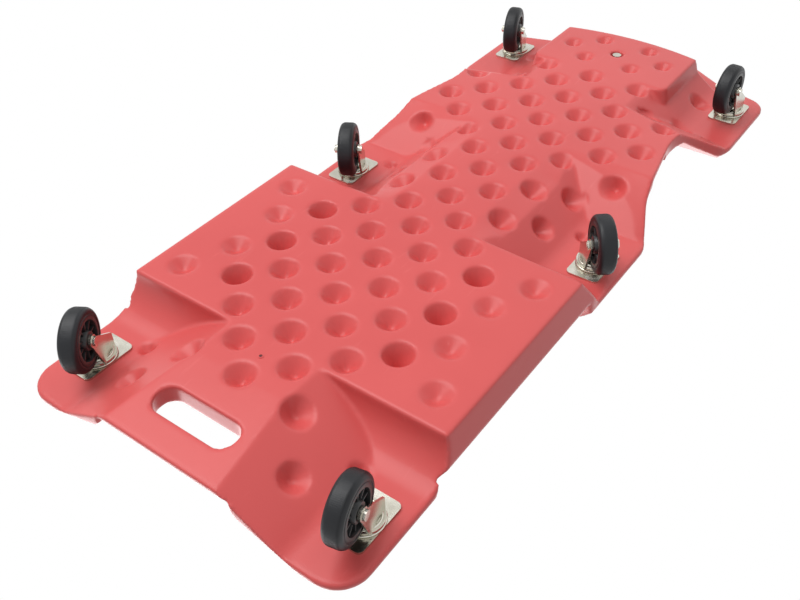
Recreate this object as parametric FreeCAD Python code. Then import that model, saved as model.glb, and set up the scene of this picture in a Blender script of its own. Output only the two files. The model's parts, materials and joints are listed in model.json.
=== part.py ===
import FreeCAD, Part
import os
import math

os.makedirs("parts", exist_ok=True)
V = FreeCAD.Vector

# Plan of the deck: foot end at -X, head end at +X, the floor at z = 0.
foot_end = -498.0
head_end = 498.0
side_half = 203.0
track_inset = 34.0
track_half = side_half - track_inset
shoulder_inset = 25.0
shoulder_half = side_half - shoulder_inset
waist_inset = 53.0
waist_half = side_half - waist_inset
head_lap = 1.0
head_half = side_half + head_lap
foot_corner_radius = 34.0
side_corner_radius = 34.0
shoulder_corner_radius = 60.0
waist_radius = 90.0
head_neck_radius = 45.0
head_pad_radius = 30.0
head_corner_radius = 36.0
head_tip_radius = 60.0
mid_pad_end = 42.0
shoulder_start = 92.0
waist_x = 236.0
head_pad_start = 288.0
head_pad_end = 432.0
head_corner_x = 456.0
head_corner_half = 126.0
head_tip_half = 60.0
wall = 3.0

# Levels of the deck above the floor.
belly_z = 33.0
pad_z = 78.0
pad_top = 102.0
lying_z = 58.0
rail_z = 73.0
tray_floor_z = 46.0
shoulder_top_z = 55.0
seat_z = 84.0

# Edge of the deck: outline is full up to edge_z, then draws in to the top.
edge_z = 85.0
edge_draw = 15.0
tray_edge_z = 66.0
tray_edge_draw = 8.0
shoulder_edge_z = 44.0
shoulder_edge_draw = 11.0
arm_from_x = 122.0
arm_to_x = 184.0
foot_edge_z = 47.0
foot_edge_draw = 12.0
flare_low_half = 70.0
flare_inset = 38.0
flare_high_half = side_half - flare_inset
flare_high_z = 90.0
flare_length = 56.0

# Recesses under the deck that hold the casters: edge at the belly, then edge at the pad.
foot_mouth_x = -347.0
foot_wall_radius = 40.0
foot_mouth_y = 44.0
foot_bend_share = 0.45
foot_floor_inset = 23.0
foot_floor_y = track_half - foot_floor_inset
mid_mouth_back = -101.0
mid_floor_back = -70.0
mid_mouth_front = 108.0
mid_floor_front = 46.0
mid_slope = 80.0
mid_bend_share = 0.65
mid_floor_inset = 31.0
mid_floor_y = track_half - mid_floor_inset
mid_mouth_y = mid_floor_y - mid_slope
head_mouth_x = 245.0
head_floor_x = 335.0
head_skew = 0.3
head_mouth_y = 58.0
head_bend_share = 0.75
head_floor_inset = 22.5
head_floor_y = track_half - head_floor_inset
head_block_x = 310.0
head_block_half = 99.0
head_block_draw = 8.0
head_block_radius = 14.0
rear_mouth_x = 432.0
rear_floor_x = 452.0
rear_bow_radius = 376.0
rear_bow_reach = 30.0
pocket_radius = 24.0
pocket_floor_radius = 12.0

# Slopes of the belly: side walls beside the trays, shoulders, and the foot ramp.
wall_inset = 7.5
wall_foot_half = side_half - wall_inset
wall_draft = 0.22
spine_half = 50.0
spine_fall = 0.3
spine_start_fall = 0.02
spine_fade_x = -70.0
spine_hold_x = 52.0
spine_end_x = 116.0
shoulder_rise_from = 45.0
shoulder_rise = 0.025
shoulder_back_x = 100.0
shoulder_front_x = 313.0
ramp_from_x = -396.0
ramp_rise = 0.075

# Hollows on top: lying channel, tray bays, trays, shoulder bays, headrest seat.
channel_floor_half = 82.0
channel_top_half = 124.0
channel_end_x = 262.0
channel_end_slope = 23.0
channel_radius = 30.0
bay_foot_x = -366.0
bay_head_x = -90.0
bay_slope = 11.0
bay_lap = 20.0
bay_radius = 20.0
tray_foot_x = -342.0
tray_head_x = -112.0
tray_inset = 17.0
tray_width = 50.0
tray_outer_y = side_half - tray_inset
tray_inner_y = tray_outer_y - tray_width
tray_slope = 5.0
tray_radius = 16.0
shoulder_bay_back = 102.0
shoulder_bay_front = 238.0
shoulder_bay_slope = 16.0
shoulder_front_slope = 68.0
seat_back_x = 470.0
seat_half = 89.0
seat_slope = 6.0
seat_radius = 14.0

# Handle slot at the foot.
slot_x = -451.0
slot_length = 98.0
slot_width = 30.0
slot_flat = 1.0

# Kiss-off cones that tie the belly skin to the top skin, on a diagonal lattice.
cone_pitch = 34.5
cone_rows = 4.9
cone_pitch_y = track_half / cone_rows
cone_origin_x = -187.0
cone_mouth_radius = 17.0
cone_tip_radius = 2.5
cone_depth = 15.0
deep_cone_depth = 26.0
cone_lead = 5.0
foot_lean = 0.53
flank_lean = 0.8
pad_lean = 0.25
head_lean = 0.49
corner_cone_x = -441.0
corner_cone_drop = 20.0
corner_cone_depth = 13.0
ramp_cone_lift = 8.0
side_cone_drop = 6.0
side_cone_depth = 14.0
side_cone_radius = 14.0
flap_cone_depth = 15.0
flap_cone_lift = 13.0
flank_cone_z = 57.0
hill_cone_z = 47.5
rim_cone_z = 70.0
hill_cone_depth = 13.0
head_cone_x = 378.0
head_cone_inset = 40.0
head_cone_y = track_half - head_cone_inset
head_cone_z = 71.0
head_cone_depth = 13.0
block_cone_radius = 13.0
block_cone_depth = 10.0
block_cone_x = 31.0
block_cone_y = 34.5
cone_corner_y = tray_outer_y - tray_width / 2
cone_corner_foot_x = -312.0
cone_corner_head_x = -138.0
pin_hole_x = -366.0
pin_hole_radius = 2.5
pin_hole_depth = 9.0

# Casters: swivel axes, plates, forks and wheels.
foot_axis_x = -430.0
mid_axis_x = -18.0
head_axis_x = 383.0
wheel_radius = 32.0
wheel_width = 19.0
trail = 23.6
turn_foot_left = 168.0
turn_foot_right = 148.0
turn_mid_left = 141.0
turn_mid_right = 150.0
turn_head_left = 181.0
turn_head_right = 162.0
plate_length = 60.0
plate_width = 38.0
plate_thick = 2.5
plate_corner = 6.0
washer_radius = 17.0
washer_thick = 2.5
crown_radius = 19.0
crown_thick = 2.5
swivel_gap = 0.3
fork_gap = 22.4
fork_thick = 2.5
fork_boss_radius = 6.5
fork_top_back = 13.0
fork_top_front = 15.0
fork_shoulder = 15.0
stem_radius = 5.0
stem_head_radius = 9.0
stem_head_thick = 2.5
stem_stub = 1.5
running_clearance = 0.05
hole_clearance = 0.3
axle_radius = 3.0
axle_head_radius = 5.0
axle_head_thick = 3.0
axle_stub = 0.8
hub_radius = 9.5
hub_width = 20.6
web_thick = 7.0
rim_radius = 24.0
rim_depth = 3.5
web_draft = 1.0
tyre_edge = 5.0
recess_radius = 15.0
recess_depth = 11.0
column_radius = 12.0
top_washer_radius = 11.0
top_washer_thick = 1.5
top_nut_radius = 8.0
top_nut_thick = 6.0

# Headrest: cushion on a board, drawn down by one screw through the head block.
rest_x = 372.0
rest_half_length = 78.0
rest_half_width = 85.0
board_half_length = 72.0
board_half_width = 78.0
board_thick = 9.0
board_radius = 12.0
cushion_height = 36.0
cushion_radius = 24.0
cushion_levels = [(0.0, 5.0), (0.3, 0.0), (0.62, 3.0), (0.88, 16.0), (1.0, 36.0)]
screw_x = 375.0
screw_radius = 3.0
screw_head_radius = 6.0
screw_head_thick = 4.0
screw_recess_radius = 9.0
screw_recess_depth = 7.0
screw_washer_radius = 8.0
screw_washer_thick = 1.5
tnut_radius = 4.5
tnut_flange_radius = 9.0
tnut_flange_thick = 1.5

reach = 60.0
over = 2.0


def rounded_wire(points, z):
    # Closed outline through (x, y, corner radius) points, corners turned into arcs.
    edges = []
    n = len(points)
    spans = []
    for i in range(n):
        p = V(points[i][0], points[i][1], z)
        a = V(points[i - 1][0], points[i - 1][1], z) - p
        b = V(points[(i + 1) % n][0], points[(i + 1) % n][1], z) - p
        a.normalize()
        b.normalize()
        half = 0.5 * a.getAngle(b)
        r = points[i][2]
        cut = r / math.tan(half)
        mid = a + b
        mid.normalize()
        centre = p + mid * (r / math.sin(half))
        spans.append((p + a * cut, centre - mid * r, p + b * cut))
    for i in range(n):
        start, top, end = spans[i]
        edges.append(Part.Arc(start, top, end).toShape())
        edges.append(Part.makeLine(end, spans[(i + 1) % n][0]))
    return Part.Wire(edges)


def rectangle(x0, x1, y0, y1, r, z):
    return rounded_wire([(x0, y0, r), (x1, y0, r), (x1, y1, r), (x0, y1, r)], z)


def prism(wire, height):
    return Part.Face(wire).extrude(V(0, 0, height))


def tapered(low, high, r_low, r_high):
    # Solid between two rounded rectangles, each (x0, x1, y0, y1, z).
    a = rectangle(low[0], low[1], low[2], low[3], r_low, low[4])
    b = rectangle(high[0], high[1], high[2], high[3], r_high, high[4])
    return Part.makeLoft([a, b], True, True)


def other_side(shape):
    return shape.mirror(V(0, 0, 0), V(0, 1, 0))


def both(shape):
    return [shape, other_side(shape)]


def slab(points, axis, start, length):
    # Prism of a polygon drawn across one axis: "x" takes (y, z), "y" takes (x, z).
    if axis == "x":
        corners = [V(start, p[0], p[1]) for p in points]
        way = V(length, 0, 0)
    else:
        corners = [V(p[0], start, p[1]) for p in points]
        way = V(0, length, 0)
    return Part.Face(Part.makePolygon(corners + corners[:1])).extrude(way)


def cylinder(x, y, z0, z1, r):
    return Part.makeCylinder(r, z1 - z0, V(x, y, z0))


wide = side_half + reach
axes = [(foot_axis_x, track_half), (foot_axis_x, -track_half),
        (mid_axis_x, track_half), (mid_axis_x, -track_half),
        (head_axis_x, track_half), (head_axis_x, -track_half)]


def drawn_in(points, t):
    # Same outline moved in by t; outer corners lose t of radius, inner corners gain it.
    moved = []
    n = len(points)
    for i in range(n):
        x, y, r = points[i]
        a = V(x - points[i - 1][0], y - points[i - 1][1], 0)
        b = V(points[(i + 1) % n][0] - x, points[(i + 1) % n][1] - y, 0)
        a.normalize()
        b.normalize()
        turn = a.x * b.y - a.y * b.x
        lean = t / (1 + a.dot(b))
        moved.append((x + lean * (a.y + b.y), y - lean * (a.x + b.x), r - t if turn < 0 else r + t))
    return moved


def plan(t, z):
    # Outline of the deck drawn in by t, clockwise from the foot end.
    half = [(foot_end, side_half, foot_corner_radius),
            (mid_pad_end, side_half, side_corner_radius),
            (shoulder_start, shoulder_half, shoulder_corner_radius),
            (waist_x, waist_half, waist_radius),
            (head_pad_start, head_half, head_neck_radius),
            (head_pad_end, head_half, head_pad_radius),
            (head_corner_x, head_corner_half, head_corner_radius),
            (head_end, head_tip_half, head_tip_radius)]
    points = half + [(x, -y, r) for x, y, r in reversed(half)]
    return rounded_wire(drawn_in(points, t), z)


def swell(y0, y1, share, start, end, t):
    # Prism along x under a slope that leaves the belly at y0 and lands on the pad at y1. Both ends are
    # rounded by a share of the radius at which the two bends would meet.
    low = belly_z - 2 * over
    z0 = belly_z + t - over
    top = pad_z + t
    bend = share * ((y1 - y0) ** 2 + (top - z0) ** 2) / (4 * (top - z0))
    lean = math.atan2(top - z0, y1 - y0)
    for k in range(30):
        rise = top - z0 - 2 * bend * (1 - math.cos(lean))
        lean = math.atan2(rise, y1 - y0 - 2 * bend * math.sin(lean))
    arc = [(bend * math.sin(lean * share), bend * (1 - math.cos(lean * share))) for share in (0.5, 1.0)]
    off = [V(start, y0, z0)] + [V(start, y0 + y, z0 + z) for y, z in arc]
    on = [V(start, y1 - y, top - z) for y, z in reversed(arc)] + [V(start, y1, top)]
    rest = [V(start, wide, top), V(start, wide, low), V(start, y0, low)]
    edges = [Part.Arc(off[0], off[1], off[2]).toShape(), Part.makeLine(off[2], on[0]),
             Part.Arc(on[0], on[1], on[2]).toShape(), Part.makeLine(on[2], rest[0]),
             Part.makeLine(rest[0], rest[1]), Part.makeLine(rest[1], rest[2]),
             Part.makeLine(rest[2], off[0])]
    return Part.Face(Part.Wire(edges)).extrude(V(end - start, 0, 0))


def foot_pocket(t):
    # Pocket at a foot corner: a slope from belly to pad across, a filleted wall towards the middle.
    far = foot_end - reach
    low = belly_z - 2 * over
    top = pad_z + t
    across = swell(foot_mouth_y - t, foot_floor_y - t, foot_bend_share, far, foot_mouth_x + reach, t)
    x1 = foot_mouth_x + t
    x0 = x1 - foot_wall_radius
    bend = foot_wall_radius * math.sqrt(0.5)
    middle = V(x0 + bend, 0, top - foot_wall_radius + bend)
    edges = [Part.makeLine(V(far, 0, low), V(x1, 0, low)),
             Part.makeLine(V(x1, 0, low), V(x1, 0, top - foot_wall_radius)),
             Part.Arc(V(x1, 0, top - foot_wall_radius), middle, V(x0, 0, top)).toShape(),
             Part.makeLine(V(x0, 0, top), V(far, 0, top)),
             Part.makeLine(V(far, 0, top), V(far, 0, low))]
    along = Part.Face(Part.Wire(edges)).extrude(V(0, wide, 0))
    return across.common(along)


def head_pocket(t):
    # Hillside at a head corner: it starts on a skew line across, and the head block stands out of it.
    far = head_end + reach
    low = belly_z - over
    ends = []
    for x, z in ((head_mouth_x - t, low), (head_floor_x - t, pad_z + t)):
        corners = [V(x + head_skew * head_mouth_y, 0, z), V(x - head_skew * (wide - head_mouth_y), wide, z),
                   V(far, wide, z), V(far, 0, z)]
        ends.append(Part.makePolygon(corners + corners[:1]))
    front = Part.makeLoft(ends, True, True)
    hill = swell(head_mouth_y - t, head_floor_y - t, head_bend_share, 0, far, t).common(front)
    half = head_block_half - t
    x0 = head_block_x + t
    draw = head_block_draw
    block = tapered((x0, far + reach, -half, half, low - over),
                    (x0 - draw, far + reach, -half - draw, half + draw, pad_z + t + over),
                    head_block_radius, head_block_radius)
    return hill.cut(block)


def from_below(t):
    # Everything taken out of the deck from underneath, grown by t.
    low = belly_z - over
    foot = foot_pocket(t)
    mid = tapered((mid_mouth_back - t, mid_mouth_front + t, 0, wide, low),
                  (mid_floor_back - t, mid_floor_front + t, 0, wide, pad_z + t),
                  pocket_radius, pocket_floor_radius)
    mid = mid.common(swell(mid_mouth_y - t, mid_floor_y - t, mid_bend_share, mid_mouth_back - reach,
                           mid_mouth_front + reach, t))
    head = head_pocket(t)
    rear = tapered((rear_mouth_x - t, head_end + reach, -wide, wide, low),
                   (rear_floor_x - t, head_end + reach, -wide, wide, pad_z + t),
                   pocket_radius, pocket_radius)
    bow = rear_bow_radius - t
    slack = rear_floor_x - rear_mouth_x
    sweep = Part.makeCone(bow, bow + slack, pad_z + t - low, V(rear_mouth_x - rear_bow_radius, 0, low))
    corner = tapered((rear_mouth_x - rear_bow_reach, head_end + reach, -wide, wide, low),
                     (rear_floor_x - rear_bow_reach, head_end + reach, -wide, wide, pad_z + t),
                     pocket_radius, pocket_radius)
    rear = rear.fuse(corner.cut(sweep))
    base = belly_z + t
    top = pad_z
    lean = wall_draft * (top - belly_z)
    side = slab([(wall_foot_half - t, low), (wall_foot_half - t, base),
                 (wall_foot_half - t + lean, top), (wide, top), (wide, low)],
                "x", foot_mouth_x - foot_wall_radius, mid_floor_back - foot_mouth_x + foot_wall_radius)
    spine = []
    stations = [(mid_mouth_back - t, spine_start_fall), (spine_fade_x - t, spine_fall),
                (spine_hold_x + t, spine_fall), (spine_end_x + t, shoulder_rise)]
    for k in range(3):
        ends = []
        for x, fall in stations[k:k + 2]:
            corners = [V(x, spine_half, low), V(x, spine_half, base),
                       V(x, wide, base + fall * (wide - spine_half)), V(x, wide, low)]
            ends.append(Part.makePolygon(corners + corners[:1]))
        spine.append(Part.makeLoft(ends, True, True))
    run = wide - shoulder_rise_from
    shoulder = slab([(shoulder_rise_from, low), (shoulder_rise_from, base),
                     (wide, base + shoulder_rise * run), (wide, low)],
                    "x", shoulder_back_x - t, shoulder_front_x - shoulder_back_x + 2 * t)
    far = foot_end - reach
    ramp = slab([(ramp_from_x, low), (ramp_from_x, base),
                 (far, base + ramp_rise * (ramp_from_x - far)), (far, low)], "y", -wide, 2 * wide)
    cuts = both(foot) + both(mid) + both(head) + [rear] + both(side) + both(shoulder) + [ramp]
    for piece in spine:
        cuts += both(piece)
    return cuts


def from_above(t):
    # Everything taken out of the deck from the top, grown by t.
    high = pad_top + over
    far = foot_end - reach
    channel = tapered((far, channel_end_x + t, -channel_floor_half - t, channel_floor_half + t,
                       lying_z - t),
                      (far, channel_end_x + channel_end_slope + t, -channel_top_half - t,
                       channel_top_half + t, high), channel_radius, channel_radius)
    inner = channel_floor_half - bay_lap - t
    bay = tapered((bay_foot_x - t, bay_head_x + t, inner, wide, rail_z - t),
                  (bay_foot_x - bay_slope - t, bay_head_x + bay_slope + t, inner, wide, high),
                  bay_radius, bay_radius)
    tray = tapered((tray_foot_x - t, tray_head_x + t, tray_inner_y - t, tray_outer_y + t, tray_floor_z - t),
                   (tray_foot_x - tray_slope - t, tray_head_x + tray_slope + t,
                    tray_inner_y - tray_slope - t, tray_outer_y + tray_slope + t, rail_z + over),
                   tray_radius, tray_radius)
    shoulder = tapered((shoulder_bay_back - t, shoulder_bay_front + t, inner, wide, shoulder_top_z - t),
                       (shoulder_bay_back - shoulder_bay_slope - t,
                        shoulder_bay_front + shoulder_front_slope + t, inner, wide, high),
                       bay_radius, bay_radius)
    seat_front = channel_end_x - bay_lap
    seat = tapered((seat_front, seat_back_x + t, -seat_half - t, seat_half + t, seat_z - t),
                   (seat_front, seat_back_x + seat_slope + t, -seat_half - seat_slope - t,
                    seat_half + seat_slope + t, high), seat_radius, seat_radius)
    wells = [cylinder(x, y, pad_top - recess_depth - t, high, recess_radius + t) for x, y in axes]
    tray_edge = slab([(side_half - t, tray_edge_z), (side_half - tray_edge_draw - t, rail_z + over),
                      (wide, rail_z + over), (wide, tray_edge_z)], "x", bay_foot_x, bay_head_x - bay_foot_x)
    ends = []
    taper = (shoulder_half - waist_half) / (waist_x - shoulder_start)
    for x in (arm_from_x, arm_to_x):
        y = shoulder_half - taper * (x - shoulder_start)
        corners = [V(x, y - t, shoulder_edge_z), V(x, y - shoulder_edge_draw - t, shoulder_top_z + over),
                   V(x, wide, shoulder_top_z + over), V(x, wide, shoulder_edge_z)]
        ends.append(Part.makePolygon(corners + corners[:1]))
    arm_edge = Part.makeLoft(ends, True, True)
    flare = []
    for x, half, z in ((far, flare_high_half, flare_high_z),
                       (foot_end, flare_high_half, flare_high_z),
                       (foot_end + flare_length, channel_top_half, pad_top)):
        inside = flare_low_half if half == flare_high_half else channel_floor_half
        corners = [V(x, inside + t, lying_z - t), V(x, half + t, z - t), V(x, half + t, high),
                   V(x, 0, high), V(x, 0, lying_z - t)]
        flare.append(Part.makePolygon(corners + corners[:1]))
    flare = Part.makeLoft(flare, True, True)
    foot_edge = slab([(foot_end + t, foot_edge_z), (foot_end + foot_edge_draw + t, lying_z + over),
                      (far, lying_z + over), (far, foot_edge_z)],
                     "y", -channel_floor_half, 2 * channel_floor_half)
    return ([channel] + both(bay) + both(tray) + both(shoulder) + [seat] + wells + both(tray_edge)
            + both(arm_edge) + both(flare) + [foot_edge])


def slot(t):
    r = slot_width / 2 + t
    half = slot_length / 2 + t
    wire = rectangle(slot_x - r, slot_x + r, -half, half, r - slot_flat / 2, belly_z - over)
    return prism(wire, pad_top - belly_z)


def lattice():
    # Lattice points: place, level of skin and tip, mouth radius, and lean of the skin in x and y.
    fall = pad_z - belly_z + over
    hill_lean = fall / (head_floor_x - head_mouth_x)
    flap_lean = fall / (mid_mouth_front - mid_floor_front)
    spots = []
    for i in range(-7, 18):
        for j in range(-4, 5):
            if (i + j) % 2:
                continue
            x = cone_origin_x + cone_pitch * i
            y = cone_pitch_y * j
            a = abs(j)
            foot = belly_z
            tip = lying_z - wall
            depth = cone_depth
            mouth = cone_mouth_radius
            lean_x = 0.0
            lean_y = 0.0
            keep = False
            if i == -7:
                keep = a == 3
                x = corner_cone_x
                foot = pad_z - corner_cone_drop
                tip = foot + corner_cone_depth
                lean_y = foot_lean
            elif i == -6:
                keep = True
                if a == 2:
                    foot = belly_z + ramp_cone_lift
                    lean_y = foot_lean
                if a == 4:
                    foot = pad_z - side_cone_drop
                    tip = foot + side_cone_depth
                    mouth = side_cone_radius
                    lean_y = pad_lean
            elif i == -5:
                keep = a == 1
            elif x < mid_mouth_back:
                keep = not (a == 4 and i in (-4, 2))
                if a == 3:
                    tip = rail_z - wall
                    depth = deep_cone_depth
                if a == 4:
                    tip = tray_floor_z - wall
            elif x < shoulder_start - cone_mouth_radius:
                keep = a < 3 or (a == 3 and x > spine_fade_x) or (a == 4 and x > 0)
                foot = belly_z + spine_fall * max(abs(y) - spine_half, 0)
                if a == 2:
                    lean_y = spine_fall
                if a == 3:
                    foot = flank_cone_z
                    tip = foot + flap_cone_depth
                    lean_y = flank_lean
                if a == 4:
                    foot = pad_z - side_cone_drop
                    tip = foot + side_cone_depth
                    mouth = side_cone_radius
                    lean_y = pad_lean
            elif x < head_mouth_x:
                keep = True
                foot = belly_z + shoulder_rise * max(abs(y) - shoulder_rise_from, 0)
                if a > 1:
                    tip = shoulder_top_z - wall
                if a == 4 and x < shoulder_start:
                    foot = belly_z + flap_cone_lift
                    tip = foot + flap_cone_depth
                    lean_x = -flap_lean
            elif x < head_block_x:
                keep = True
                if a > 2:
                    foot = hill_cone_z if a == 3 else rim_cone_z
                    tip = foot + hill_cone_depth
                    lean_x = hill_lean
                    lean_y = hill_lean * head_skew
            if keep:
                lean_y = math.copysign(lean_y, y)
                spots.append((x, y, foot, min(tip, foot + depth), mouth, lean_x, lean_y))
    for side in (1, -1):
        for x in (cone_corner_foot_x, cone_corner_head_x):
            spots.append((x, side * cone_corner_y, belly_z, tray_floor_z - wall, cone_mouth_radius, 0, 0))
        spots.append((head_cone_x, side * head_cone_y, head_cone_z, head_cone_z + head_cone_depth,
                      cone_mouth_radius, 0, side * head_lean))
        for x, y in ((screw_x - block_cone_x, block_cone_y), (screw_x, 2 * block_cone_y),
                     (screw_x + block_cone_x, block_cone_y)):
            spots.append((x, side * y, belly_z, belly_z + block_cone_depth, block_cone_radius, 0, 0))
    return spots


def cones(t):
    # Each cone is driven in square to the skin it starts from.
    found = []
    for x, y, foot, tip, mouth, lean_x, lean_y in lattice():
        grow = (mouth - cone_tip_radius) / (tip - foot)
        way = V(-lean_x, -lean_y, 1)
        way.normalize()
        start = V(x, y, foot) - way * cone_lead
        found.append(Part.makeCone(mouth + grow * cone_lead + t, cone_tip_radius + t - grow * t,
                                   tip - foot + cone_lead + t, start, way))
    return found


def form(t):
    body = prism(plan(t, belly_z + t), edge_z - belly_z - t)
    crown = Part.makeLoft([plan(t, edge_z), plan(t + edge_draw, pad_top - t)], True, True)
    return body.fuse(crown).cut(from_below(t) + from_above(t) + [slot(t)])


columns = [cylinder(x, y, pad_z - over, pad_top, column_radius) for x, y in axes]
columns.append(cylinder(screw_x, 0, belly_z, seat_z, screw_recess_radius + wall))
cavity = form(wall).cut(cones(wall) + columns)
holes = [cylinder(x, y, pad_z - over, pad_top, stem_radius + hole_clearance) for x, y in axes]
holes.append(cylinder(screw_x, 0, belly_z - over, belly_z + screw_recess_depth, screw_recess_radius))
holes.append(cylinder(screw_x, 0, belly_z, seat_z + over, screw_radius + hole_clearance))
holes.append(cylinder(pin_hole_x, 0, belly_z - over, belly_z + pin_hole_depth, pin_hole_radius))
deck = form(0.0).cut(cones(0.0) + [cavity] + holes)
deck.exportStep("parts/deck_shell.step")


def placed(shape, x, y, turn=0.0):
    s = shape.copy()
    s.rotate(V(0, 0, 0), V(0, 0, 1), turn)
    s.translate(V(x, y, 0))
    return s


# Swivel plate, pressed up against the pad.
plate_low = pad_z - plate_thick
plate_wire = rectangle(-plate_length / 2, plate_length / 2, -plate_width / 2, plate_width / 2,
                       plate_corner, plate_low)
plate = prism(plate_wire, plate_thick)
plate = plate.cut(cylinder(0, 0, plate_low - over, pad_z + over, stem_radius))

# Thrust washer between plate and fork crown.
washer_low = plate_low - washer_thick
thrust = cylinder(0, 0, washer_low, plate_low, washer_radius)
thrust = thrust.cut(cylinder(0, 0, washer_low - over, plate_low + over, stem_radius))

# Fork: a crown that turns on the stem and two legs down to the axle.
crown_top = washer_low - swivel_gap
crown_low = crown_top - crown_thick
leg_in = fork_gap / 2
leg_out = leg_in + fork_thick
axle_z = wheel_radius
crown = cylinder(0, 0, crown_low, crown_top, crown_radius)
bridge = Part.makeBox(fork_top_front + fork_top_back, 2 * leg_out, crown_thick,
                      V(-fork_top_back, -leg_out, crown_low))
fork = crown.fuse(bridge)
leg_face = [(-fork_top_back, crown_top), (fork_top_front, crown_top),
            (trail + fork_boss_radius, axle_z), (trail - fork_boss_radius, axle_z),
            (-fork_top_back, crown_low - fork_shoulder)]
for y in (leg_in, -leg_out):
    leg = slab(leg_face, "y", y, fork_thick)
    boss = Part.makeCylinder(fork_boss_radius, fork_thick, V(trail, y, axle_z), V(0, 1, 0))
    fork = fork.fuse([leg, boss])
fork = fork.cut(cylinder(0, 0, crown_low - over, crown_top + over, stem_radius + running_clearance))
fork = fork.cut(Part.makeCylinder(axle_radius, 4 * leg_out, V(trail, -2 * leg_out, axle_z), V(0, 1, 0)))
fork = fork.removeSplitter()

# Stem: rivet head under the crown, shank up through plate and deck to the nut.
stem_top = pad_top - recess_depth + top_washer_thick + top_nut_thick + stem_stub
head_top = crown_low - swivel_gap
stem = cylinder(0, 0, head_top - stem_head_thick, head_top, stem_head_radius)
stem = stem.fuse(cylinder(0, 0, head_top - stem_head_thick, stem_top, stem_radius)).removeSplitter()

# Washer and nut in the well on top of the deck.
well_z = pad_top - recess_depth
top_washer = cylinder(0, 0, well_z, well_z + top_washer_thick, top_washer_radius)
top_washer = top_washer.cut(cylinder(0, 0, well_z - over, well_z + 2 * over, stem_radius))
nut_low = well_z + top_washer_thick
sixth = math.pi / 3
hexagon = [V(top_nut_radius * math.cos(k * sixth), top_nut_radius * math.sin(k * sixth), nut_low)
           for k in range(7)]
top_nut = Part.Face(Part.makePolygon(hexagon)).extrude(V(0, 0, top_nut_thick))
top_nut = top_nut.cut(cylinder(0, 0, nut_low - over, stem_top + over, stem_radius))

# Axle bolt with a round head on one leg and a nut on the other.
bolt_end = leg_out + axle_head_thick + axle_stub
axle = Part.makeCylinder(axle_radius, leg_out + bolt_end, V(trail, -leg_out, axle_z), V(0, 1, 0))
head_y = -leg_out - axle_head_thick
axle_head = Part.makeCylinder(axle_head_radius, axle_head_thick, V(trail, head_y, axle_z), V(0, 1, 0))
axle = axle.fuse(axle_head).removeSplitter()
nut_ring = [V(trail + axle_head_radius * math.cos(k * sixth), leg_out,
              axle_z + axle_head_radius * math.sin(k * sixth)) for k in range(7)]
axle_nut = Part.Face(Part.makePolygon(nut_ring)).extrude(V(0, axle_head_thick, 0))
axle_nut = axle_nut.cut(Part.makeCylinder(axle_radius, 4 * leg_out, V(trail, 0, axle_z), V(0, 1, 0)))


def turned(profile):
    # Revolves (radius, y) points about the axle.
    corners = [V(trail + r, y, axle_z) for r, y in profile]
    face = Part.Face(Part.makePolygon(corners + corners[:1]))
    return face.revolve(V(trail, 0, axle_z), V(0, 1, 0), 360)


# Wheel core: hub, web and rim in one moulding, running on the axle bolt.
bore = axle_radius + running_clearance
rim_in = rim_radius - rim_depth
half_hub = hub_width / 2
half_web = web_thick / 2
half_rim = wheel_width / 2
core = turned([(bore, -half_hub), (hub_radius, -half_hub), (hub_radius + web_draft, -half_web),
               (rim_in - web_draft, -half_web), (rim_in, -half_rim), (rim_radius, -half_rim),
               (rim_radius, half_rim), (rim_in, half_rim), (rim_in - web_draft, half_web),
               (hub_radius + web_draft, half_web), (hub_radius, half_hub), (bore, half_hub)])

# Tyre: solid band with rounded shoulders.
side_r = trail + wheel_radius - tyre_edge
tread_r = trail + wheel_radius
tyre_points = [V(trail + rim_radius, -half_rim, axle_z), V(side_r, -half_rim, axle_z),
               V(tread_r, -half_rim + tyre_edge, axle_z), V(tread_r, half_rim - tyre_edge, axle_z),
               V(side_r, half_rim, axle_z), V(trail + rim_radius, half_rim, axle_z)]
bow = tyre_edge * (1 - math.sqrt(0.5))
low_mid = V(trail + wheel_radius - bow, -half_rim + bow, axle_z)
high_mid = V(trail + wheel_radius - bow, half_rim - bow, axle_z)
tyre_edges = [Part.makeLine(tyre_points[0], tyre_points[1]),
              Part.Arc(tyre_points[1], low_mid, tyre_points[2]).toShape(),
              Part.makeLine(tyre_points[2], tyre_points[3]),
              Part.Arc(tyre_points[3], high_mid, tyre_points[4]).toShape(),
              Part.makeLine(tyre_points[4], tyre_points[5]),
              Part.makeLine(tyre_points[5], tyre_points[0])]
tyre = Part.Face(Part.Wire(tyre_edges)).revolve(V(trail, 0, axle_z), V(0, 1, 0), 360)

# Six casters, each turned the way its wheel trails.
casters = [("foot_left", foot_axis_x, track_half, turn_foot_left),
           ("foot_right", foot_axis_x, -track_half, turn_foot_right),
           ("mid_left", mid_axis_x, track_half, turn_mid_left),
           ("mid_right", mid_axis_x, -track_half, turn_mid_right),
           ("head_left", head_axis_x, track_half, turn_head_left),
           ("head_right", head_axis_x, -track_half, turn_head_right)]
for name, x, y, turn in casters:
    placed(plate, x, y).exportStep("parts/caster_plate_" + name + ".step")
    placed(fork, x, y, turn).exportStep("parts/fork_" + name + ".step")
    placed(axle, x, y, turn).exportStep("parts/axle_bolt_" + name + ".step")
    placed(axle_nut, x, y, turn).exportStep("parts/axle_nut_" + name + ".step")
    placed(core, x, y, turn).exportStep("parts/wheel_core_" + name + ".step")
    placed(tyre, x, y, turn).exportStep("parts/tyre_" + name + ".step")
for name, shape in (("thrust_washers", thrust), ("caster_stems", stem),
                    ("stem_washers", top_washer), ("stem_nuts", top_nut)):
    group = Part.makeCompound([placed(shape, c[1], c[2]) for c in casters])
    group.exportStep("parts/" + name + ".step")

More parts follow.
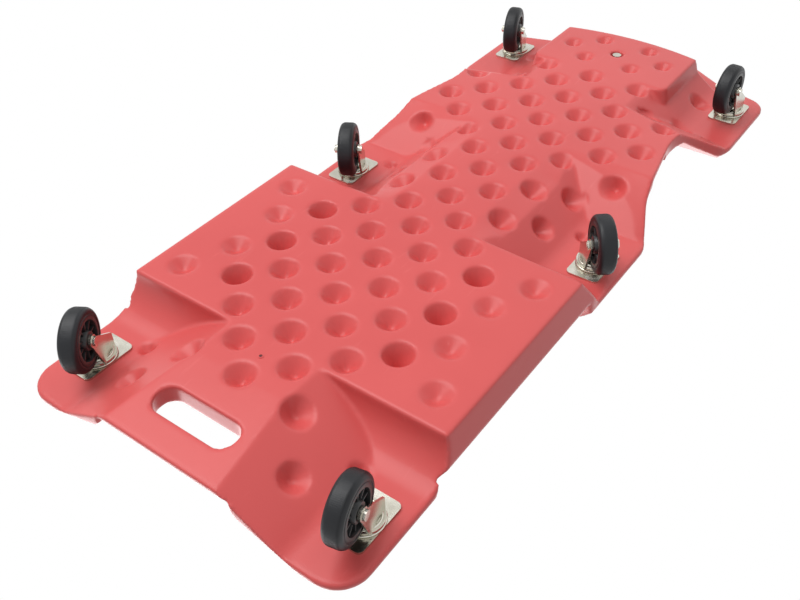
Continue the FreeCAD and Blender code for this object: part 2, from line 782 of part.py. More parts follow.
# Headrest board on the seat.
board = prism(rectangle(rest_x - board_half_length, rest_x + board_half_length, -board_half_width,
                        board_half_width, board_radius, seat_z), board_thick)
board = board.cut(cylinder(screw_x, 0, seat_z - over, seat_z + board_thick + over, tnut_radius))
flange_low = seat_z + board_thick - tnut_flange_thick
board = board.cut(cylinder(screw_x, 0, flange_low, seat_z + board_thick + over, tnut_flange_radius))
board.exportStep("parts/headrest_board.step")

# Cushion: drawn in at the board, full at the sides, crowned on top.
rest_low = seat_z + board_thick
sections = []
for share, draw in cushion_levels:
    sections.append(rectangle(rest_x - rest_half_length + draw, rest_x + rest_half_length - draw,
                              -rest_half_width + draw, rest_half_width - draw, cushion_radius,
                              rest_low + share * cushion_height))
cushion = Part.makeLoft(sections, True, False)
cushion.exportStep("parts/headrest_cushion.step")

# Screw, washer and tee nut that hold the headrest down.
recess_z = belly_z + screw_recess_depth
screw_washer = cylinder(screw_x, 0, recess_z - screw_washer_thick, recess_z, screw_washer_radius)
screw_washer = screw_washer.cut(cylinder(screw_x, 0, belly_z, seat_z, screw_radius))
screw_washer.exportStep("parts/headrest_washer.step")
head_z = recess_z - screw_washer_thick
screw = cylinder(screw_x, 0, head_z - screw_head_thick, head_z, screw_head_radius)
screw = screw.fuse(cylinder(screw_x, 0, head_z - screw_head_thick, rest_low, screw_radius)).removeSplitter()
screw.exportStep("parts/headrest_screw.step")
tnut = cylinder(screw_x, 0, seat_z, rest_low, tnut_radius)
tnut = tnut.fuse(cylinder(screw_x, 0, flange_low, rest_low, tnut_flange_radius))
tnut = tnut.cut(cylinder(screw_x, 0, seat_z - over, rest_low + over, screw_radius)).removeSplitter()
tnut.exportStep("parts/headrest_tee_nut.step")
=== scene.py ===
import json
import math
import bpy
from mathutils import Matrix, Vector


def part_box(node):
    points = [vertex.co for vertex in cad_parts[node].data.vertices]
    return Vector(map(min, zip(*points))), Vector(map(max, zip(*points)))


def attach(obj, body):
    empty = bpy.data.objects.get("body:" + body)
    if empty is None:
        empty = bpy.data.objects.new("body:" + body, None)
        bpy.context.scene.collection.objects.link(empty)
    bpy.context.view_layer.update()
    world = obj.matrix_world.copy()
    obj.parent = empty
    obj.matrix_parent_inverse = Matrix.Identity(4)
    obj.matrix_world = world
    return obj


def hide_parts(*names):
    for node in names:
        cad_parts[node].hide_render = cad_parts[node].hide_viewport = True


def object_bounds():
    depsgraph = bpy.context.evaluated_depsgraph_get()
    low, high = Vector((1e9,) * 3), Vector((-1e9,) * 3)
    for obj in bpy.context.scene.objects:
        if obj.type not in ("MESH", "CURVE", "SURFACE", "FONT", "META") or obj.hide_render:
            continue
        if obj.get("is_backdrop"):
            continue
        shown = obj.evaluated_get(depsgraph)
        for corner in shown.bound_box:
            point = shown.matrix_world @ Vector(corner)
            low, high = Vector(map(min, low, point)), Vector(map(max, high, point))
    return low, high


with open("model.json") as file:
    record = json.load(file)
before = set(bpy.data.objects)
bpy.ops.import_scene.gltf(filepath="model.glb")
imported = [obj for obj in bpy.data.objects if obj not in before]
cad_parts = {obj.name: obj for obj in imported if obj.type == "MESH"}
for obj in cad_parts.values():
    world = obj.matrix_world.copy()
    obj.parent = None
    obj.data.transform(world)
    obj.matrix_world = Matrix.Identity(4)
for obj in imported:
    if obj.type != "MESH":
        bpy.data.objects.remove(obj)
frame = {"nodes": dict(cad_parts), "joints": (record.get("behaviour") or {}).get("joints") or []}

nodes = frame["nodes"]
low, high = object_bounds()


# Deck: one hollow shell of red polyethylene, blown in a two-part mould, so every edge is soft and each
# dimple has a rounded lip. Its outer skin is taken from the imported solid, closed at the blow-pin hole,
# and eased all over except in the wells of the stem nuts and the recess of the headrest screw.
def alone(obj):
    bpy.ops.object.select_all(action="DESELECT")
    obj.select_set(True)
    bpy.context.view_layer.objects.active = obj


def skin_of(node, name):
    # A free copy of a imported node, its loose triangles merged into one surface.
    obj = bpy.data.objects.new(name, nodes[node].data.copy())
    bpy.context.collection.objects.link(obj)
    alone(obj)
    bpy.ops.object.mode_set(mode="EDIT")
    bpy.ops.mesh.select_all(action="SELECT")
    bpy.ops.mesh.remove_doubles(threshold=1e-5)
    bpy.ops.object.mode_set(mode="OBJECT")
    return obj


def pick(obj, kind, test):
    # Selects only the faces whose centre and normal pass a test, or the edges whose two ends pass it.
    bpy.ops.object.mode_set(mode="OBJECT")
    bpy.ops.object.mode_set(mode="EDIT")
    bpy.ops.mesh.select_mode(type=kind)
    bpy.ops.mesh.select_all(action="DESELECT")
    bpy.ops.object.mode_set(mode="OBJECT")
    points = obj.data.vertices
    if kind == "FACE":
        for face in obj.data.polygons:
            face.select = test(face.center, face.normal)
    else:
        for edge in obj.data.edges:
            edge.select = all(test(points[i].co) for i in edge.vertices)
    bpy.ops.object.mode_set(mode="EDIT")


def apply_all(obj):
    alone(obj)
    for modifier in list(obj.modifiers):
        bpy.ops.object.modifier_apply(modifier=modifier.name)


pin = Vector((-0.366, 0.0))
pin_radius = 0.0025
pin_margin = 0.0002
pin_top_z = 0.045
deck_voxel = 0.0019
deck_triangles = 198000
ease_factor = 0.5
ease_rounds = 8
well_radius = 0.019
well_low_z = 0.08
recess_radius = 0.011
recess_high_z = 0.05
held_share = 0.15
deck = skin_of("deck_shell", "deck")
pick(deck, "FACE", lambda c, n: (c.xy - pin).length < pin_radius + pin_margin and c.z < pin_top_z)
bpy.ops.mesh.delete(type="FACE")
bpy.ops.mesh.select_all(action="SELECT")
bpy.ops.mesh.separate(type="LOOSE")
bpy.ops.object.mode_set(mode="OBJECT")
bpy.context.view_layer.update()
shells = sorted(bpy.context.selected_objects, key=lambda o: o.dimensions.x)
deck = shells.pop()
for shell in shells:
    bpy.data.objects.remove(shell)
deck.name = "deck"
alone(deck)
bpy.ops.object.mode_set(mode="EDIT")
bpy.ops.mesh.select_all(action="SELECT")
bpy.ops.mesh.fill_holes(sides=0)
bpy.ops.object.mode_set(mode="OBJECT")
remesh = deck.modifiers.new("skin", "REMESH")
remesh.mode = "VOXEL"
remesh.voxel_size = deck_voxel
apply_all(deck)
swivels = [Vector(j["pos_m"]) for j in frame["joints"] if j["name"].startswith("swivel")]
low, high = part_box("headrest_screw")
screw = (low + high) / 2
eased = deck.vertex_groups.new(name="eased")
for vertex in deck.data.vertices:
    spot = vertex.co
    in_well = any((spot.xy - s.xy).length < well_radius for s in swivels) and spot.z > well_low_z
    in_recess = (spot.xy - screw.xy).length < recess_radius and spot.z < recess_high_z
    eased.add([vertex.index], held_share if in_well or in_recess else 1.0, "REPLACE")
ease = deck.modifiers.new("ease", "SMOOTH")
ease.factor = ease_factor
ease.iterations = ease_rounds
ease.vertex_group = "eased"
apply_all(deck)
thin = deck.modifiers.new("thin", "DECIMATE")
thin.ratio = min(1.0, deck_triangles / (2 * len(deck.data.polygons)))
apply_all(deck)
bpy.ops.object.shade_smooth()


def place(tree, kind, **values):
    # Adds a shader node; values name its sockets, with spaces as underscores, or its own settings.
    node = tree.nodes.new(kind)
    for key, value in values.items():
        socket = node.inputs.get(key.replace("_", " "))
        if socket is None:
            setattr(node, key, value)
        elif isinstance(value, bpy.types.NodeSocket):
            tree.links.new(value, socket)
        else:
            socket.default_value = value
    return node


def material(name):
    made = bpy.data.materials.new(name)
    made.use_nodes = True
    return made, made.node_tree, made.node_tree.nodes["Principled BSDF"]


def dress(obj, finish):
    obj.data.materials.clear()
    obj.data.materials.append(finish)


def group(name, inputs, outputs):
    made = bpy.data.node_groups.new(name, "ShaderNodeTree")
    for label, kind, value in inputs:
        made.interface.new_socket(label, in_out="INPUT", socket_type=kind).default_value = value
    for label, kind in outputs:
        made.interface.new_socket(label, in_out="OUTPUT", socket_type=kind)
    return made, made.nodes.new("NodeGroupInput"), made.nodes.new("NodeGroupOutput")


# Mould grain: the fine pebble that a sandblasted mould leaves on a moulding, over a slow waviness of the
# wall as it cools. Rubber, nylon and plated steel take it with their own scales.
wave_share = 3.0
grain, given, put = group("mould_grain", [("Vector", "NodeSocketVector", (0, 0, 0)),
                                          ("Pebble", "NodeSocketFloat", 900.0),
                                          ("Wave", "NodeSocketFloat", 18.0)],
                          [("Height", "NodeSocketFloat")])
pebble = place(grain, "ShaderNodeTexNoise", Detail=2.0)
wave = place(grain, "ShaderNodeTexNoise", Detail=1.0)
grain.links.new(given.outputs["Vector"], pebble.inputs["Vector"])
grain.links.new(given.outputs["Vector"], wave.inputs["Vector"])
grain.links.new(given.outputs["Pebble"], pebble.inputs["Scale"])
grain.links.new(given.outputs["Wave"], wave.inputs["Scale"])
both = place(grain, "ShaderNodeMath", operation="MULTIPLY_ADD")
grain.links.new(wave.outputs["Fac"], both.inputs[0])
both.inputs[1].default_value = wave_share
grain.links.new(pebble.outputs["Fac"], both.inputs[2])
grain.links.new(both.outputs[0], put.inputs["Height"])

# Handling marks: short rubbed streaks, and cloudy patches where the surface has been touched and wiped.
# Each finish drifts between two tones with the clouds.
marks, given, put = group("handling_marks", [("Vector", "NodeSocketVector", (0, 0, 0)),
                                             ("Streaks", "NodeSocketFloat", 30.0),
                                             ("Clouds", "NodeSocketFloat", 6.0)],
                          [("Streak", "NodeSocketFloat"), ("Cloud", "NodeSocketFloat")])
drawn = place(marks, "ShaderNodeMapping", Scale=(1.0, 7.0, 2.0), Rotation=(0.2, 0.4, 0.7))
marks.links.new(given.outputs["Vector"], drawn.inputs["Vector"])
streak = place(marks, "ShaderNodeTexNoise", Vector=drawn.outputs["Vector"], Detail=4.0, Distortion=0.4)
marks.links.new(given.outputs["Streaks"], streak.inputs["Scale"])
cut = place(marks, "ShaderNodeMapRange", Value=streak.outputs["Fac"], From_Min=0.66, From_Max=0.8)
marks.links.new(cut.outputs["Result"], put.inputs["Streak"])
cloud = place(marks, "ShaderNodeTexNoise", Detail=3.0)
marks.links.new(given.outputs["Vector"], cloud.inputs["Vector"])
marks.links.new(given.outputs["Clouds"], cloud.inputs["Scale"])
marks.links.new(cloud.outputs["Fac"], put.inputs["Cloud"])


def with_group(tree, made, vector, **values):
    node = tree.nodes.new("ShaderNodeGroup")
    node.node_tree = made
    tree.links.new(vector, node.inputs["Vector"])
    for key, value in values.items():
        node.inputs[key].default_value = value
    return node


def toned(name, streaks, clouds, dark, light, dark_at=0.0, light_at=1.0):
    # A finish whose colour drifts between two tones, cloud by cloud.
    made, tree, shader = material(name)
    spot = place(tree, "ShaderNodeTexCoord").outputs["Object"]
    worn = with_group(tree, marks, spot, Streaks=streaks, Clouds=clouds)
    ramp = place(tree, "ShaderNodeValToRGB", Fac=worn.outputs["Cloud"])
    for stop, at, colour in zip(ramp.color_ramp.elements, (dark_at, light_at), (dark, light)):
        stop.position = at
        stop.color = (*colour, 1.0)
    tree.links.new(ramp.outputs["Color"], shader.inputs["Base Color"])
    return made, tree, shader, spot, worn


def vary_roughness(tree, shader, worn, smooth, dull):
    rough = place(tree, "ShaderNodeMapRange", Value=worn.outputs["Cloud"], To_Min=smooth, To_Max=dull)
    tree.links.new(rough.outputs["Result"], shader.inputs["Roughness"])


def add_grain(tree, shader, spot, pebble, wave, strength, depth):
    grained = with_group(tree, grain, spot, Pebble=pebble, Wave=wave)
    bump = place(tree, "ShaderNodeBump", Strength=strength, Distance=depth, Height=grained.outputs["Height"])
    tree.links.new(bump.outputs["Normal"], shader.inputs["Normal"])


scuff_colour = (0.71, 0.15, 0.15, 1.0)
scuff_share = 0.35
deck_red, tree, shader, spot, worn = toned("deck_red", streaks=22.0, clouds=5.0,
                                           dark=(0.600, 0.083, 0.081), light=(0.655, 0.098, 0.095),
                                           dark_at=0.3, light_at=0.7)
plain = shader.inputs["Base Color"].links[0].from_socket
scuff = place(tree, "ShaderNodeMixRGB", Color1=plain, Color2=scuff_colour)
faint = place(tree, "ShaderNodeMath", operation="MULTIPLY")
tree.links.new(worn.outputs["Streak"], faint.inputs[0])
faint.inputs[1].default_value = scuff_share
tree.links.new(faint.outputs[0], scuff.inputs["Fac"])
tree.links.new(scuff.outputs["Color"], shader.inputs["Base Color"])
vary_roughness(tree, shader, worn, smooth=0.27, dull=0.40)
add_grain(tree, shader, spot, pebble=1100.0, wave=14.0, strength=0.25, depth=0.0003)
shader.inputs["Specular IOR Level"].default_value = 0.32
dress(deck, deck_red)
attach(deck, "deck")
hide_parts("deck_shell")


# Blow-pin mark: the small hole where air was blown into the hot plastic, with the low lip that the pin
# leaves round it. The deck skin is closed over the hole, so a shallow dish in a near-black painted shade
# stands in for the dark inside of the hole.
lip_radius = 0.0030
lip_height = 0.0010
mouth_radius = 0.0017
mouth_slope = 0.0002
mouth_sink = 0.0003
low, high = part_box("deck_shell")
bpy.ops.object.select_all(action="DESELECT")
bpy.ops.mesh.primitive_cylinder_add(vertices=32, radius=lip_radius, depth=lip_height,
                                    location=(pin.x, pin.y, low.z))
mark = bpy.context.object
mark.name = "blow_pin_mark"
bpy.ops.object.transform_apply(location=True, rotation=True, scale=True)
pick(mark, "FACE", lambda c, n: n.z < -0.9)
bpy.ops.mesh.inset(thickness=lip_radius - mouth_radius, depth=0.0)
bpy.ops.mesh.inset(thickness=mouth_slope, depth=-mouth_sink)
# Painted shade: a near-black red for the mouth of the hole, in place of the shade inside the hollow shell.
hole_dark, _, shader, _, _ = toned("hole_dark", streaks=200.0, clouds=300.0,
                                   dark=(0.05, 0.006, 0.007), light=(0.10, 0.012, 0.013))
shader.inputs["Roughness"].default_value = 0.7
bpy.ops.object.mode_set(mode="OBJECT")
dress(mark, deck_red)
mark.data.materials.append(hole_dark)
# The inner faces of the mouth take the painted shade.
for face in mark.data.polygons:
    inner = (face.center.xy - pin).length < mouth_radius
    face.material_index = 1 if face.normal.z < 0 and inner else 0
bpy.ops.object.shade_smooth_by_angle(angle=math.radians(40))
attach(mark, "deck")


# Zinc hardware: pressed plates and forks, turned stems, bolts, nuts and washers, all bright zinc plated
# with a faint yellow passivation. Edges are broken by tumbling before plating.
zinc, tree, shader, spot, worn = toned("zinc", streaks=120.0, clouds=40.0, dark=(0.50, 0.48, 0.41),
                                       light=(0.66, 0.64, 0.57), dark_at=0.3, light_at=0.7)
vary_roughness(tree, shader, worn, smooth=0.14, dull=0.34)
add_grain(tree, shader, spot, pebble=1500.0, wave=60.0, strength=0.1, depth=0.0002)
shader.inputs["Metallic"].default_value = 1.0


def break_edges(node, width):
    weld = node.modifiers.new("weld", "WELD")
    weld.merge_threshold = 1e-5
    edge = node.modifiers.new("edge", "BEVEL")
    edge.width = width
    edge.segments = 2
    edge.limit_method = "ANGLE"
    edge.angle_limit = math.radians(35)
    node.modifiers.new("shade", "WEIGHTED_NORMAL")
    alone(node)
    bpy.ops.mesh.customdata_custom_splitnormals_clear()
    bpy.ops.object.shade_smooth()


broken_edge = 0.0004
hardware = ("caster_plate", "fork", "axle", "caster_stems", "stem_", "headrest_screw", "headrest_washer",
            "headrest_tee_nut")
for name, node in nodes.items():
    if name.startswith(hardware):
        break_edges(node, broken_edge)
        dress(node, zinc)

# Race cups: the rolled rim of each plate that holds the swivel, and the bead pressed into the fork crown
# below it, both of the same plated sheet as the pieces they belong to.
cup_radius = 0.0185
cup_bead = 0.00125
bead_radius = 0.0155
bead_size = 0.0011
bead_lift = 0.0028
under_squash = 0.8
low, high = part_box("caster_plate_foot_left")
cup_z = low.z - cup_bead
low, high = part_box("caster_stems")
bead_z = low.z + bead_lift
for joint in frame["joints"]:
    if not joint["name"].startswith("swivel"):
        continue
    corner = joint["name"][len("swivel_"):]
    x, y = joint["pos_m"][:2]
    for name, body, ring, size, z in (("race_cup_", "deck", cup_radius, cup_bead, cup_z),
                                      ("crown_bead_", joint["child"], bead_radius, bead_size, bead_z)):
        bpy.ops.object.select_all(action="DESELECT")
        bpy.ops.mesh.primitive_torus_add(major_segments=64, minor_segments=12, major_radius=ring,
                                         minor_radius=size, location=(x, y, z))
        piece = bpy.context.object
        piece.name = name + corner
        bpy.ops.object.transform_apply(location=True, rotation=True, scale=True)
        pick(piece, "FACE", lambda c, n: n.z < -0.2)
        bpy.ops.transform.resize(value=(1.0, 1.0, under_squash), center_override=(x, y, z))
        bpy.ops.object.mode_set(mode="OBJECT")
        bpy.ops.object.shade_smooth()
        dress(piece, zinc)
        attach(piece, body)

# Thrust washers: plain rings cut from grey nylon, one between each plate and its fork crown, which carry
# the load while the caster swivels.
nylon, _, shader, _, _ = toned("race_nylon", streaks=150.0, clouds=60.0, dark=(0.10, 0.10, 0.10),
                               light=(0.16, 0.16, 0.15))
shader.inputs["Roughness"].default_value = 0.5
break_edges(nodes["thrust_washers"], broken_edge)
dress(nodes["thrust_washers"], nylon)

# Tyres: solid bands of charcoal rubber moulded round the cores, with rounded shoulders and a moulded step
# in each side wall.
rubber, tree, shader, spot, worn = toned("tyre_rubber", streaks=70.0, clouds=30.0,
                                         dark=(0.005, 0.0056, 0.0075), light=(0.012, 0.0133, 0.017),
                                         dark_at=0.3, light_at=0.75)
vary_roughness(tree, shader, worn, smooth=0.30, dull=0.48)
shader.inputs["Specular IOR Level"].default_value = 0.36
add_grain(tree, shader, spot, pebble=1400.0, wave=80.0, strength=0.3, depth=0.0002)

low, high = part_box("tyre_foot_left")
wheel_radius = (high.z - low.z) / 2
wheel_width = 0.019
rim_radius = 0.024
shoulder = 0.005
step_margin = 0.0007
step_slope = 0.0004
step_depth = 0.0005


def near(a, b):
    return abs(a - b) < 1e-5


def off_axis(point):
    return math.hypot(point.x, point.z)


def wheel_blank(name, radius, width, sides):
    bpy.ops.object.select_all(action="DESELECT")
    bpy.ops.mesh.primitive_cylinder_add(vertices=sides, radius=radius, depth=width,
                                        rotation=(math.pi / 2, 0, 0))
    obj = bpy.context.object
    obj.name = name
    bpy.ops.object.transform_apply(location=True, rotation=True, scale=True)
    return obj


def wheel_caps(obj):
    pick(obj, "FACE", lambda c, n: abs(n.y) > 0.9 and off_axis(c) < 1e-4)


tyre = wheel_blank("tyre", wheel_radius, wheel_width, 128)
wheel_caps(tyre)
bpy.ops.mesh.inset(thickness=wheel_radius - rim_radius, depth=0.0)
bpy.ops.mesh.bridge_edge_loops()
pick(tyre, "EDGE", lambda p: near(off_axis(p), wheel_radius) and near(abs(p.y), wheel_width / 2))
bpy.ops.mesh.bevel(offset=shoulder, segments=6, affect="EDGES")
pick(tyre, "FACE", lambda c, n: abs(n.y) > 0.95 and near(abs(c.y), wheel_width / 2))
bpy.ops.mesh.inset(thickness=step_margin, depth=0.0)
bpy.ops.mesh.inset(thickness=step_slope, depth=-step_depth)
bpy.ops.mesh.select_all(action="SELECT")
bpy.ops.mesh.normals_make_consistent(inside=False)
bpy.ops.object.mode_set(mode="OBJECT")
bpy.ops.object.shade_smooth_by_angle(angle=math.radians(35))
dress(tyre, rubber)

# Wheel cores: black nylon mouldings with a hub, a thin web, a rim, and ribs on both faces of the web. Each
# core runs on its axle bolt and carries its tyre.
core_black, tree, shader, spot, _ = toned("core_black", streaks=90.0, clouds=40.0,
                                          dark=(0.010, 0.010, 0.011), light=(0.024, 0.024, 0.026))
shader.inputs["Roughness"].default_value = 0.38
add_grain(tree, shader, spot, pebble=1200.0, wave=80.0, strength=0.15, depth=0.0002)

core_fit = 0.00005
rim_wall = 0.0035
web_sink = 0.006
hub_radius = 0.0095
hub_rise = 0.0068
bore_radius = 0.00305
draft = 0.001
rib_every = 6
core_sides = 60
rib_height = 0.0042
core_edge = 0.0003
core = wheel_blank("core", rim_radius - core_fit, wheel_width, core_sides)
wheel_caps(core)
bpy.ops.mesh.inset(thickness=rim_wall, depth=0.0)
bpy.ops.mesh.inset(thickness=draft, depth=-web_sink)
bpy.ops.mesh.inset(thickness=rim_radius - rim_wall - 2 * draft - hub_radius, depth=0.0)
bpy.ops.mesh.inset(thickness=draft, depth=hub_rise)
bpy.ops.mesh.inset(thickness=hub_radius - bore_radius, depth=0.0)
bpy.ops.mesh.bridge_edge_loops()
web_y = wheel_width / 2 - web_sink
pitch = 2 * math.pi / core_sides


def on_rib(c, n):
    turn = round((math.atan2(c.z, c.x) % (2 * math.pi)) / pitch - 0.5)
    return abs(n.y) > 0.95 and near(abs(c.y), web_y) and turn % rib_every == 0


pick(core, "FACE", on_rib)
bpy.ops.mesh.extrude_region_shrink_fatten(TRANSFORM_OT_shrink_fatten={"value": rib_height})
bpy.ops.mesh.select_all(action="SELECT")
bpy.ops.mesh.normals_make_consistent(inside=False)
bpy.ops.object.mode_set(mode="OBJECT")
edge = core.modifiers.new("edge", "BEVEL")
edge.width = core_edge
edge.segments = 2
edge.limit_method = "ANGLE"
edge.angle_limit = math.radians(40)
apply_all(core)
bpy.ops.object.shade_smooth_by_angle(angle=math.radians(35))
dress(core, core_black)

# One tyre and one core are set on each axle bolt, turned to its direction.
for joint in frame["joints"]:
    if not joint["name"].startswith("spin"):
        continue
    corner = joint["name"][len("spin_"):]
    axis = Vector(joint["axis"])
    turn = math.atan2(axis.y, axis.x) - math.pi / 2
    for blank, cad, slot in ((tyre, "tyre_", "tyre_rubber"), (core, "wheel_core_", "wheel_plastic")):
        piece = bpy.data.objects.new(blank.name + "_piece_" + corner, blank.data.copy())
        bpy.context.collection.objects.link(piece)
        piece.data.transform(Matrix.Translation(joint["pos_m"]) @ Matrix.Rotation(turn, 4, "Z"))
        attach(piece, joint["child"])
        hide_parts(cad + corner)
bpy.data.objects.remove(tyre)
bpy.data.objects.remove(core)

# Headrest board: a square of plywood under the cushion, its plies showing at the sawn edges. A tee nut is
# driven into it, and the headrest screw draws it down on its seat.
sawn_edge = 0.0008
wood, tree, shader = material("board_wood")
spot = place(tree, "ShaderNodeTexCoord").outputs["Object"]
plies = place(tree, "ShaderNodeTexWave", Vector=spot, Scale=110.0, Distortion=0.5, bands_direction="Z")
ramp = place(tree, "ShaderNodeValToRGB", Fac=plies.outputs["Fac"])
ramp.color_ramp.elements[0].color = (0.30, 0.18, 0.09, 1.0)
ramp.color_ramp.elements[1].color = (0.52, 0.36, 0.20, 1.0)
tree.links.new(ramp.outputs["Color"], shader.inputs["Base Color"])
shader.inputs["Roughness"].default_value = 0.65
break_edges(nodes["headrest_board"], sawn_edge)
dress(nodes["headrest_board"], wood)

# Headrest cushion: a foam pad in black vinyl, stretched over the board, full in the middle and drawn in
# where the cover is stapled underneath. The cover is sewn a little small, and the foam fills it out.
vinyl, tree, shader, spot, worn = toned("cushion_vinyl", streaks=40.0, clouds=14.0,
                                        dark=(0.018, 0.018, 0.019), light=(0.034, 0.034, 0.036))
vary_roughness(tree, shader, worn, smooth=0.36, dull=0.52)
leather = place(tree, "ShaderNodeTexVoronoi", Vector=spot, Scale=700.0, feature="DISTANCE_TO_EDGE")
bump = place(tree, "ShaderNodeBump", Strength=0.35, Distance=0.0004, Height=leather.outputs["Distance"])
tree.links.new(bump.outputs["Normal"], shader.inputs["Normal"])

cushion_voxel = 0.005
cushion_swell = 0.007
sewn_across = 0.96
sewn_high = 0.94
staple_height = 0.004
foam_pressure = 4.0
settle_steps = 20
cushion = skin_of("headrest_cushion", "cushion")
low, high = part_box("headrest_cushion")
middle = (low + high) / 2
for vertex in cushion.data.vertices:
    vertex.co.x = middle.x + sewn_across * (vertex.co.x - middle.x)
    vertex.co.y = middle.y + sewn_across * (vertex.co.y - middle.y)
    vertex.co.z = low.z + sewn_high * (vertex.co.z - low.z)
remesh = cushion.modifiers.new("skin", "REMESH")
remesh.mode = "VOXEL"
remesh.voxel_size = cushion_voxel
apply_all(cushion)
held = cushion.vertex_groups.new(name="held")
held.add([v.index for v in cushion.data.vertices if v.co.z < low.z + staple_height], 1.0, "REPLACE")
start = [v.co.copy() for v in cushion.data.vertices]
cloth = cushion.modifiers.new("cloth", "CLOTH")
cloth.settings.use_pressure = True
cloth.settings.uniform_pressure_force = foam_pressure
cloth.settings.vertex_group_mass = "held"
cloth.settings.effector_weights.gravity = 0.0
for step in range(1, settle_steps + 1):
    bpy.context.scene.frame_set(step)
apply_all(cushion)
bpy.context.scene.frame_set(1)
for vertex, before in zip(cushion.data.vertices, start):
    moved = vertex.co - before
    if moved.length > cushion_swell:
        vertex.co = before + moved.normalized() * cushion_swell
    vertex.co.z = max(vertex.co.z, low.z)
ease = cushion.modifiers.new("ease", "SMOOTH")
ease.iterations = 3
fine = cushion.modifiers.new("fine", "SUBSURF")
fine.levels = 1
fine.render_levels = 1
apply_all(cushion)
bpy.ops.object.shade_smooth()
dress(cushion, vinyl)
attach(cushion, "deck")
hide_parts("headrest_cushion")

# Piping: a cord covered in the same vinyl and sewn into the seam of the cover, which runs round the
# cushion where it is widest.
piping_radius = 0.0021
corner_radius = 0.024
seam_share = 0.32
seam_band = 0.003
seam_z = low.z + seam_share * (high.z - low.z)
band = [v.co for v in cushion.data.vertices if abs(v.co.z - seam_z) < seam_band]
half_x = max(abs(co.x - middle.x) for co in band)
half_y = max(abs(co.y - middle.y) for co in band)
bpy.ops.object.select_all(action="DESELECT")
bpy.ops.mesh.primitive_plane_add(size=2.0, location=(middle.x, middle.y, seam_z))
piping = bpy.context.object
piping.name = "cushion_piping"
piping.scale = (half_x, half_y, 1.0)
bpy.ops.object.transform_apply(location=True, rotation=True, scale=True)
bpy.ops.object.mode_set(mode="EDIT")
bpy.ops.mesh.select_all(action="SELECT")
bpy.ops.mesh.bevel(offset=corner_radius, segments=8, affect="VERTICES")
bpy.ops.mesh.delete(type="ONLY_FACE")
bpy.ops.mesh.select_all(action="SELECT")
bpy.ops.mesh.subdivide(number_cuts=3)
bpy.ops.object.mode_set(mode="OBJECT")
wrap = piping.modifiers.new("wrap", "SHRINKWRAP")
wrap.target = cushion
apply_all(piping)
bpy.ops.object.convert(target="CURVE")
piping = bpy.context.object
piping.data.bevel_depth = piping_radius
piping.data.bevel_resolution = 3
bpy.ops.object.convert(target="MESH")
piping = bpy.context.object
bpy.ops.object.shade_smooth()
dress(piping, vinyl)
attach(piping, "deck")

# Camera: under the creeper, looking up at its belly from the foot end, as it is seen lying upside down.
# Its place, turn and lens are fitted to the caster plates, the wheels and the edges of the deck.
camera_stand = (-0.7652, 0.4707, -0.5570)
camera_turn = [math.radians(angle) for angle in (-131.134, -1.422, 53.803)]
bpy.ops.object.camera_add(location=camera_stand, rotation=camera_turn)
camera = bpy.context.object
camera.data.sensor_width = 36.0
camera.data.lens = 40.77
bpy.context.scene.camera = camera

# Lamps: a wide soft key and a fill on the belly side, and a weaker pair over the top side. Each row gives
# name, place, width in metres and power in watts.
lamps = [("belly_key", (-0.5, -0.9, -2.1), 1.8, 43.0), ("belly_fill", (1.6, 0.2, -1.6), 1.6, 4.0),
         ("top_key", (-0.8, -1.2, 2.2), 2.0, 40.0), ("top_fill", (1.6, -0.3, 1.9), 2.0, 14.0)]
for name, stand, width, power in lamps:
    bpy.ops.object.light_add(type="AREA", location=stand)
    lamp = bpy.context.object
    lamp.name = name
    lamp.data.size = width
    lamp.data.energy = power
    lamp.rotation_euler = (-Vector(stand)).to_track_quat("-Z", "Y").to_euler()
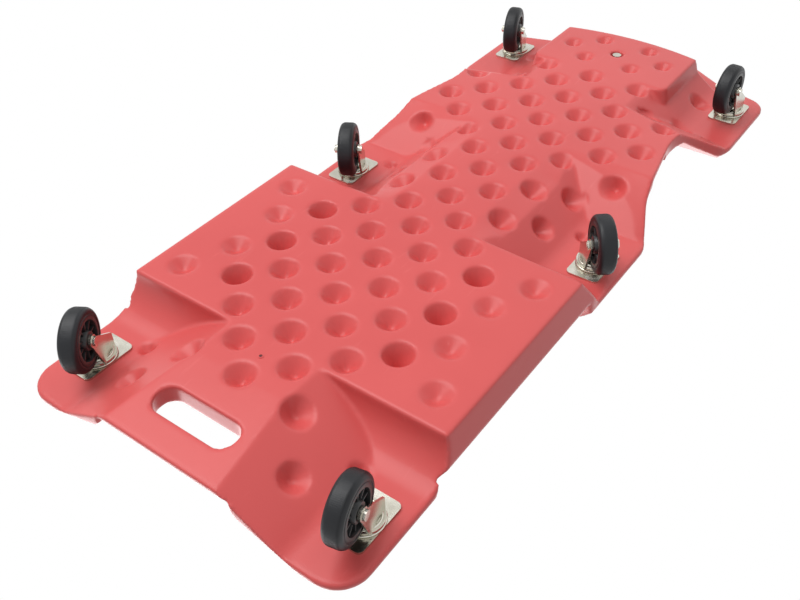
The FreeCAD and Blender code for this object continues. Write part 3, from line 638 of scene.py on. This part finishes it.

# Floor: a pale disc under the wheels, seen from above only, so it never hides the belly, and fading out to
# the white all round. No lamp lights it: it glows at a set pale level, and a painted shadow from ambient
# occlusion darkens it close to the wheels and under the deck.
floor_radius = 4.0
shade_reach = 0.35
shade_dark = 0.30
shade_pale = 0.94
fade_from = 1.0
fade_to = 3.2
bpy.ops.mesh.primitive_circle_add(vertices=96, radius=floor_radius, fill_type="NGON")
floor = bpy.context.object
floor.name = "floor"
pale, tree, shader = material("floor_pale")
tree.nodes.remove(shader)
# Painted shadow: the glow is dimmed where ambient occlusion finds the creeper within reach, in place of a
# cast shadow.
painted_contact_shadow = place(tree, "ShaderNodeAmbientOcclusion", Distance=shade_reach, samples=16)
level = place(tree, "ShaderNodeMapRange", Value=painted_contact_shadow.outputs["AO"], To_Min=shade_dark, To_Max=shade_pale)
shaded = place(tree, "ShaderNodeEmission", Strength=level.outputs["Result"])
clear = place(tree, "ShaderNodeBsdfTransparent")
reach = place(tree, "ShaderNodeVectorMath", operation="LENGTH")
tree.links.new(place(tree, "ShaderNodeTexCoord").outputs["Object"], reach.inputs[0])
fade = place(tree, "ShaderNodeMapRange", Value=reach.outputs["Value"], From_Min=fade_from, From_Max=fade_to)
under = place(tree, "ShaderNodeNewGeometry").outputs["Backfacing"]
hidden = place(tree, "ShaderNodeMath", operation="MAXIMUM")
tree.links.new(under, hidden.inputs[0])
tree.links.new(fade.outputs["Result"], hidden.inputs[1])
mixed = tree.nodes.new("ShaderNodeMixShader")
tree.links.new(hidden.outputs[0], mixed.inputs[0])
tree.links.new(shaded.outputs[0], mixed.inputs[1])
tree.links.new(clear.outputs[0], mixed.inputs[2])
tree.links.new(mixed.outputs[0], tree.nodes["Material Output"].inputs["Surface"])
dress(floor, pale)
floor.visible_diffuse = False
floor.visible_glossy = False
floor.visible_transmission = False
floor.visible_shadow = False
floor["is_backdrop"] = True

# World: white to the camera and in reflections. As light it is softer, and weaker from above than from
# below, where the belly faces.
light_below = 0.58
light_above = 0.36
world = bpy.data.worlds.new("world")
world.use_nodes = True
bpy.context.scene.world = world
tree = world.node_tree
path = place(tree, "ShaderNodeLightPath")
seen = place(tree, "ShaderNodeMath", operation="MAXIMUM")
tree.links.new(path.outputs["Is Camera Ray"], seen.inputs[0])
tree.links.new(path.outputs["Is Glossy Ray"], seen.inputs[1])
way = place(tree, "ShaderNodeSeparateXYZ", Vector=place(tree, "ShaderNodeTexCoord").outputs["Generated"])
soft = place(tree, "ShaderNodeMapRange", Value=way.outputs["Z"], From_Min=-1.0, To_Min=light_below,
             To_Max=light_above)
strength = place(tree, "ShaderNodeMapRange", Value=seen.outputs[0], To_Min=soft.outputs["Result"])
tree.links.new(strength.outputs["Result"], tree.nodes["Background"].inputs["Strength"])
tree.nodes["Background"].inputs["Color"].default_value = (1.0, 1.0, 1.0, 1.0)

bpy.context.scene.view_settings.view_transform = "Standard"

low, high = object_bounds()
